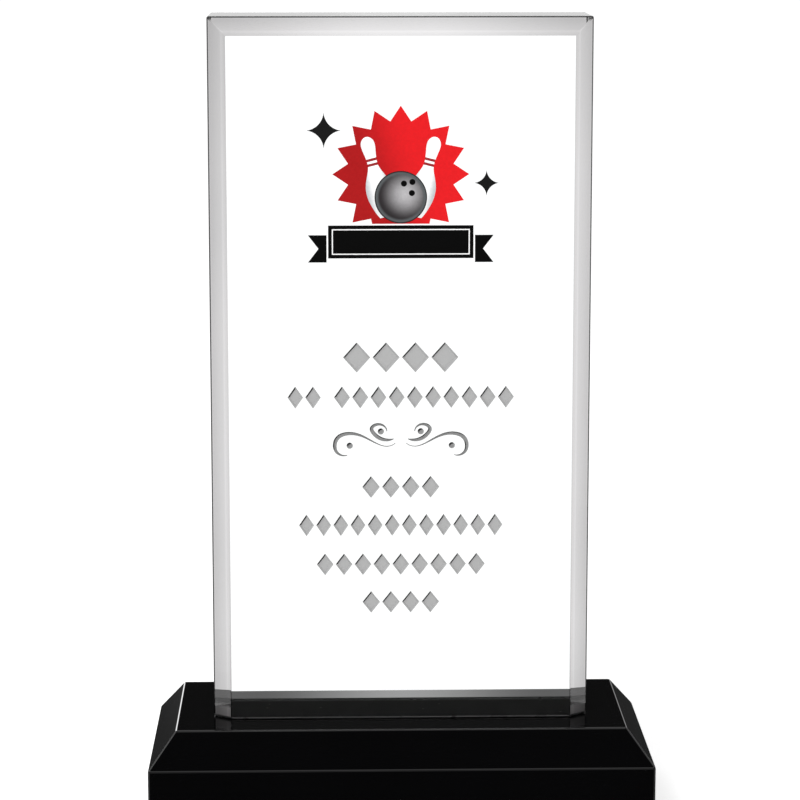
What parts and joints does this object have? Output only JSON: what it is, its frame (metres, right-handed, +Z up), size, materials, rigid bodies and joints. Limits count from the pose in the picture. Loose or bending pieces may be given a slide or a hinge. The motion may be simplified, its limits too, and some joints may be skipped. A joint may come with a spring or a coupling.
{
  "type": "bowling trophy",
  "caption": "Upright bevelled clear crystal award plaque with a printed bowling emblem and engraved ornament, bonded to a sloped black crystal base on soft feet.",
  "frame": {"origin": "on the surface that the trophy stands on, under the middle of its base", "axes": "+Z up; +Y from the engraved front to the back; +X to the right of a person facing the front"},
  "size_m": [0.127, 0.058, 0.2048],
  "materials": {
    "clear_crystal": "optically polished, with frosted engraving",
    "black_crystal": "mirror polished",
    "cured_adhesive": "clear, UV cured",
    "foot_rubber": "satin moulded",
    "adhesive_tape": "pressure-sensitive acrylic",
    "white_ink": "UV-cured ink, satin",
    "red_ink": "UV-cured ink",
    "dark_red_ink": "UV-cured ink",
    "pale_grey_ink": "UV-cured ink",
    "graphite_ink": "UV-cured ink",
    "black_ink": "UV-cured ink"
  },
  "bodies": {
    "root": {"crystal_plaque": "clear_crystal", "black_base": "black_crystal", "adhesive_film": "cured_adhesive", "foot_front_left": "foot_rubber", "foot_front_right": "foot_rubber", "foot_rear_left": "foot_rubber", "foot_rear_right": "foot_rubber", "foot_tape_front_left": "adhesive_tape", "foot_tape_front_right": "adhesive_tape", "foot_tape_rear_left": "adhesive_tape", "foot_tape_rear_right": "adhesive_tape", "print_white_layer": "white_ink", "print_red_seal": "red_ink", "print_pins": "pale_grey_ink", "print_pin_bands": "dark_red_ink", "print_ball": "graphite_ink", "print_finger_holes": "black_ink", "print_banner": "black_ink", "print_spark_left": "black_ink", "print_spark_right": "black_ink"}
  },
  "joints": []
}
